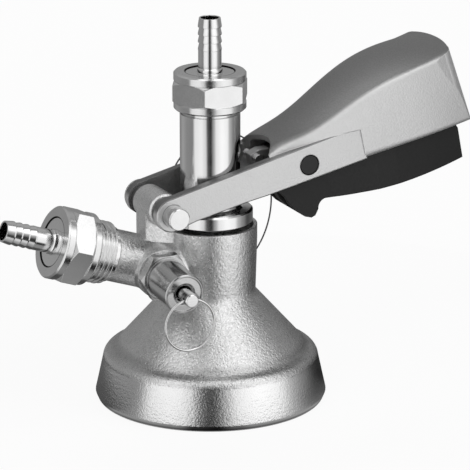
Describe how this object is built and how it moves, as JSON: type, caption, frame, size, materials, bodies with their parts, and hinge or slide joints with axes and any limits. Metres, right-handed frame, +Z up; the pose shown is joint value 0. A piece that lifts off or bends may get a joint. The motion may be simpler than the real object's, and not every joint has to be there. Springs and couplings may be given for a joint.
{
  "type": "keg coupler",
  "caption": "Slide-on keg coupler: bell body with side opening, sprung lever trigger, moving probe, gas inlet with relief valve, union nuts with hose tails.",
  "frame": {"origin": "on the probe's axis at the foot of the bell, where the coupler stands", "axes": "+Z up along the probe, +X towards the lever, -X towards the gas inlet, -Y towards the relief valve, +Y the bell's slide-on opening"},
  "size_m": [0.2179, 0.098, 0.1683],
  "materials": {
    "cast_steel": "bead-blasted cast stainless steel",
    "turned_steel": "fine turned stainless steel",
    "polished_steel": "polished stainless steel",
    "lever_metal": "satin light grey metal",
    "black_plastic": "satin black plastic",
    "white_plastic": "satin white plastic",
    "black_rubber": "food-grade rubber"
  },
  "bodies": {
    "body": {"coupler_body": "cast_steel", "gas_spigot": "turned_steel", "keeper_wire": "polished_steel", "fulcrum_pin": "turned_steel", "fulcrum_clip": "turned_steel", "fulcrum_spacer_front": "turned_steel", "fulcrum_spacer_rear": "turned_steel", "body_seal": "black_rubber", "neck_ring": "black_rubber", "gas_check_valve": "black_rubber", "gas_washer": "black_rubber", "gas_tail": "polished_steel", "relief_body": "turned_steel"},
    "lever": {"lever_handle": "lever_metal", "trigger_pin": "black_plastic", "trigger_spring": "turned_steel"},
    "trigger": {"trigger": "black_plastic", "latch_pin": "turned_steel"},
    "probe": {"probe": "polished_steel", "probe_seal": "black_rubber", "ball_cage": "white_plastic", "beer_washer": "black_rubber", "beer_tail": "polished_steel"},
    "check_ball": {"check_ball": "white_plastic"},
    "beer_nut": {"beer_nut": "turned_steel"},
    "gas_nut": {"gas_nut": "turned_steel"},
    "relief_pin": {"relief_pin": "white_plastic", "relief_spring": "turned_steel"},
    "pull_ring": {"pull_ring": "polished_steel"}
  },
  "joints": [
    {"name": "lever_hinge", "type": "hinge", "parent": "body", "child": "lever", "pos_m": [-0.0253, 0, 0.0886], "axis": [0, 1, 0], "range_deg": [0, 18.4]},
    {"name": "probe_slide", "type": "slide", "parent": "body", "child": "probe", "axis": [0, 0, -1], "range_m": [0, 0.0083]},
    {"name": "trigger_hinge", "type": "hinge", "parent": "lever", "child": "trigger", "pos_m": [0.0392, 0, 0.10305], "axis": [0, -1, 0], "range_deg": [0, 8], "stiffness_Nm_per_rad": 0.6, "springref_deg": -11.46},
    {"name": "check_ball_lift", "type": "slide", "parent": "probe", "child": "check_ball", "axis": [0, 0, 1], "range_m": [0, 0.003]},
    {"name": "beer_nut_turn", "type": "hinge", "parent": "probe", "child": "beer_nut", "pos_m": [0, 0, 0.137], "axis": [0, 0, 1], "continuous": true},
    {"name": "gas_nut_turn", "type": "hinge", "parent": "body", "child": "gas_nut", "pos_m": [-0.07356, 0, 0.07873], "axis": [-0.9455, 0, 0.3256], "continuous": true},
    {"name": "relief_pull", "type": "slide", "parent": "body", "child": "relief_pin", "axis": [0, -0.9962, -0.0872], "range_m": [0, 0.002], "stiffness_N_per_m": 1500, "springref_m": -0.004},
    {"name": "pull_ring_swing", "type": "hinge", "parent": "relief_pin", "child": "pull_ring", "pos_m": [-0.0292, -0.04264, 0.05972], "axis": [1, 0, 0], "range_deg": [-75, 15]}
  ],
  "couplings": [
    {"joint": "probe_slide", "follows": "lever_hinge", "m_per_rad": 0.025782}
  ]
}
